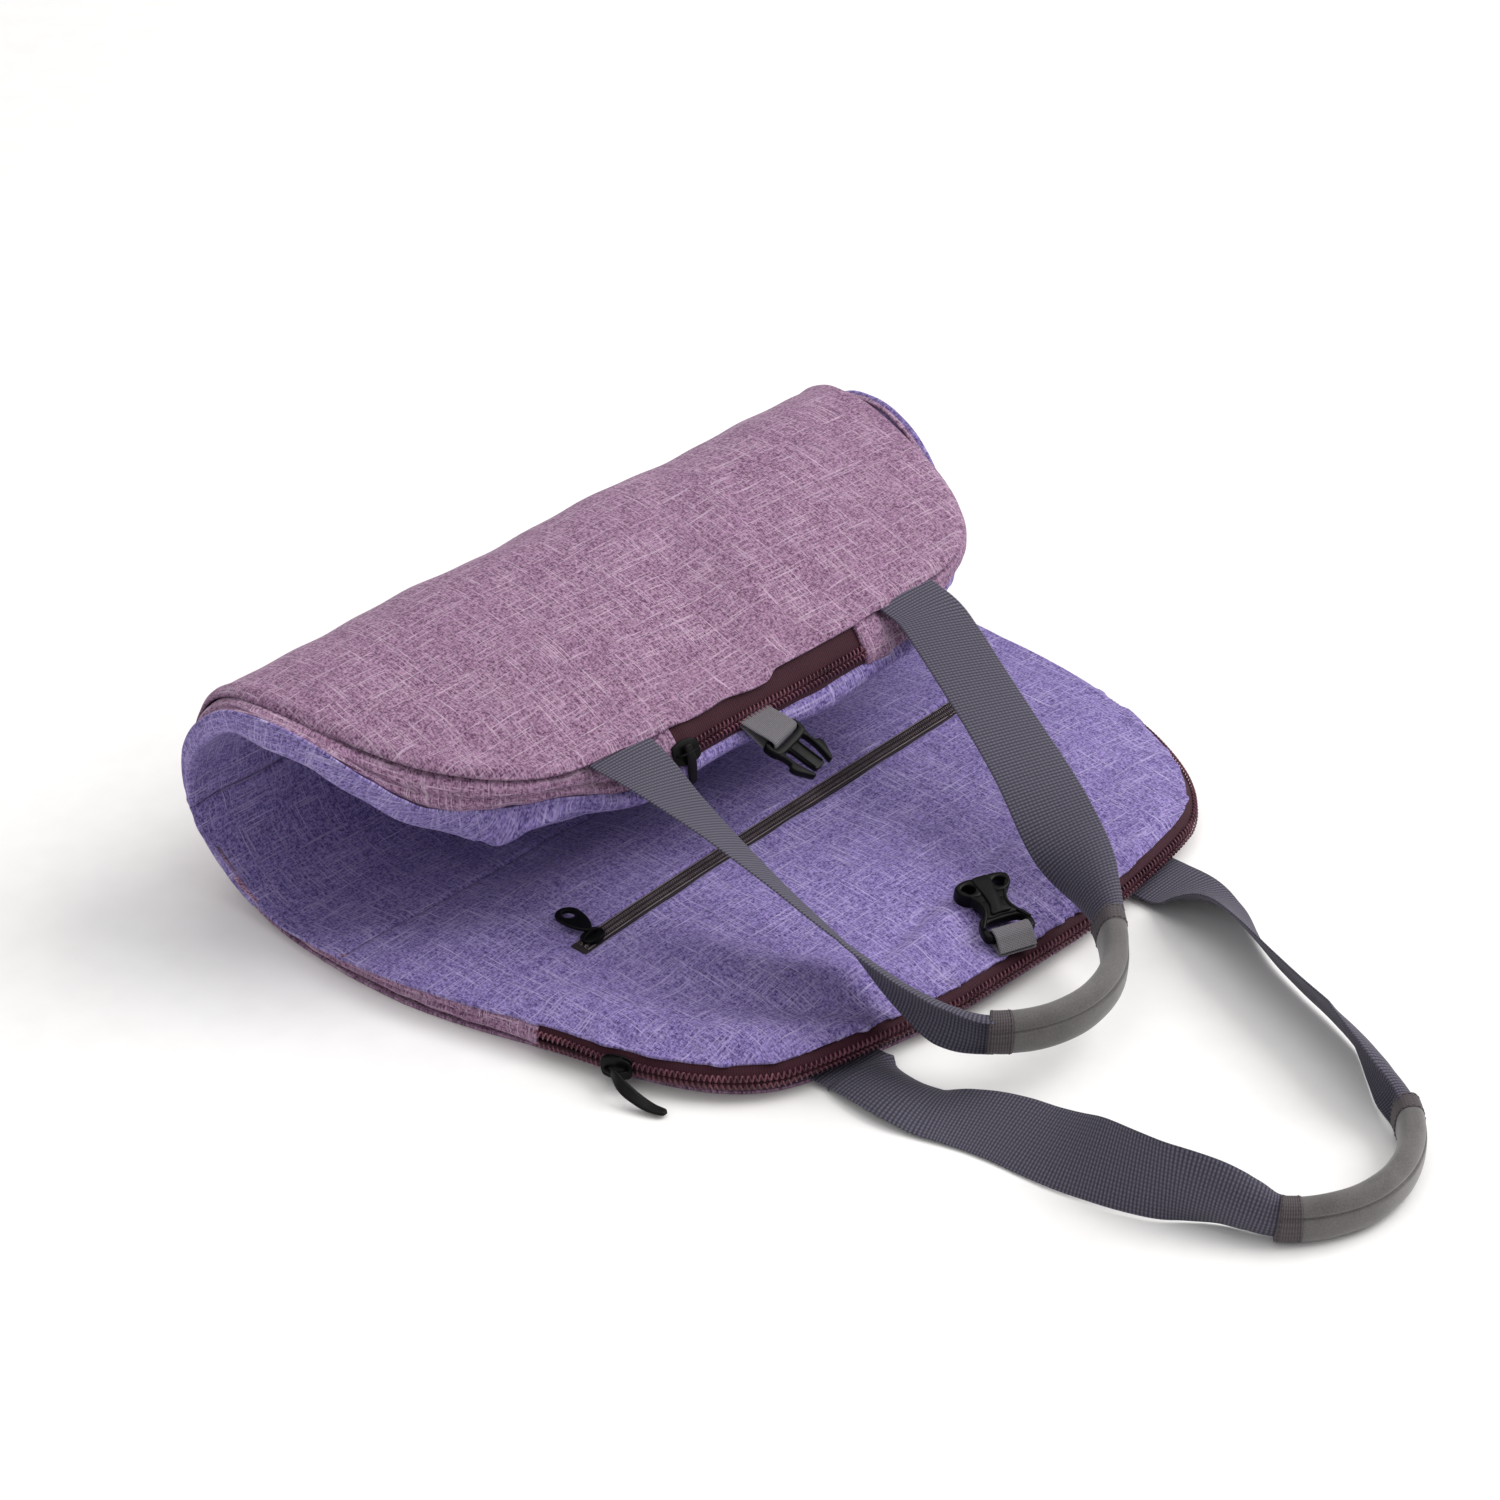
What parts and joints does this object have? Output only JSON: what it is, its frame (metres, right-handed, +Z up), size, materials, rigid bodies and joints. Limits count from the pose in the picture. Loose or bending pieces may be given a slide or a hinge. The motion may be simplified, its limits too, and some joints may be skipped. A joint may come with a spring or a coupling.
{
  "type": "yoga kit bag",
  "caption": "Soft zipped tote folded over to leave an open tunnel for a rolled mat, with a lined pocket zip, a side release buckle and webbing handles with padded grips.",
  "frame": {"origin": "on the flat underside of the lower half, midway between the handle roots and under the middle of the lower half", "axes": "+X along the mat tunnel, +Y from the front edges with the zips towards the fold, +Z up from the floor"},
  "size_m": [0.4576, 0.6134, 0.14],
  "materials": {
    "mauve_cloth": "slub-woven mauve polyester",
    "lavender_cloth": "slub-woven lavender polyester",
    "zip_tape": "smooth burgundy zip tape",
    "zip_coil": "burgundy nylon coil",
    "pocket_tape": "dark brown-grey zip tape and coil",
    "grey_webbing": "ribbed slate grey webbing",
    "grip_cover": "smooth grey padded cover",
    "grip_band": "stitched brownish grey band",
    "grey_elastic": "knitted light grey elastic",
    "soft_pull": "soft black pull",
    "black_plastic": "moulded black plastic"
  },
  "bodies": {
    "root": {"outer_panel": "mauve_cloth", "lining_lower": "lavender_cloth", "lining_base": "lavender_cloth", "lining_upper": "lavender_cloth", "gusset_left": "mauve_cloth", "gusset_right": "mauve_cloth", "lower_zip_tape_bottom": "zip_tape", "lower_zip_tape_top": "zip_tape", "lower_zip_coil": "zip_coil", "upper_zip_tape_top": "zip_tape", "upper_zip_tape_bottom": "zip_tape", "upper_zip_coil": "zip_coil", "lower_zip_slider": "black_plastic", "upper_zip_slider": "black_plastic", "lower_handle_webbing_left": "grey_webbing", "lower_handle_band_left": "grip_band", "lower_handle_grip": "grip_cover", "lower_handle_band_right": "grip_band", "lower_handle_webbing_right": "grey_webbing", "upper_handle_webbing_left": "grey_webbing", "upper_handle_band_left": "grip_band", "upper_handle_grip": "grip_cover", "upper_handle_band_right": "grip_band", "upper_handle_webbing_right": "grey_webbing", "lower_zip_pull": "soft_pull", "upper_zip_pull": "soft_pull", "pocket_zip_tape": "pocket_tape", "pocket_zip_coil": "pocket_tape", "pocket_zip_slider": "black_plastic", "pocket_zip_pull": "black_plastic", "buckle_socket": "black_plastic", "buckle_socket_elastic": "grey_elastic", "buckle_plug": "black_plastic", "buckle_plug_elastic": "grey_elastic"}
  },
  "joints": []
}
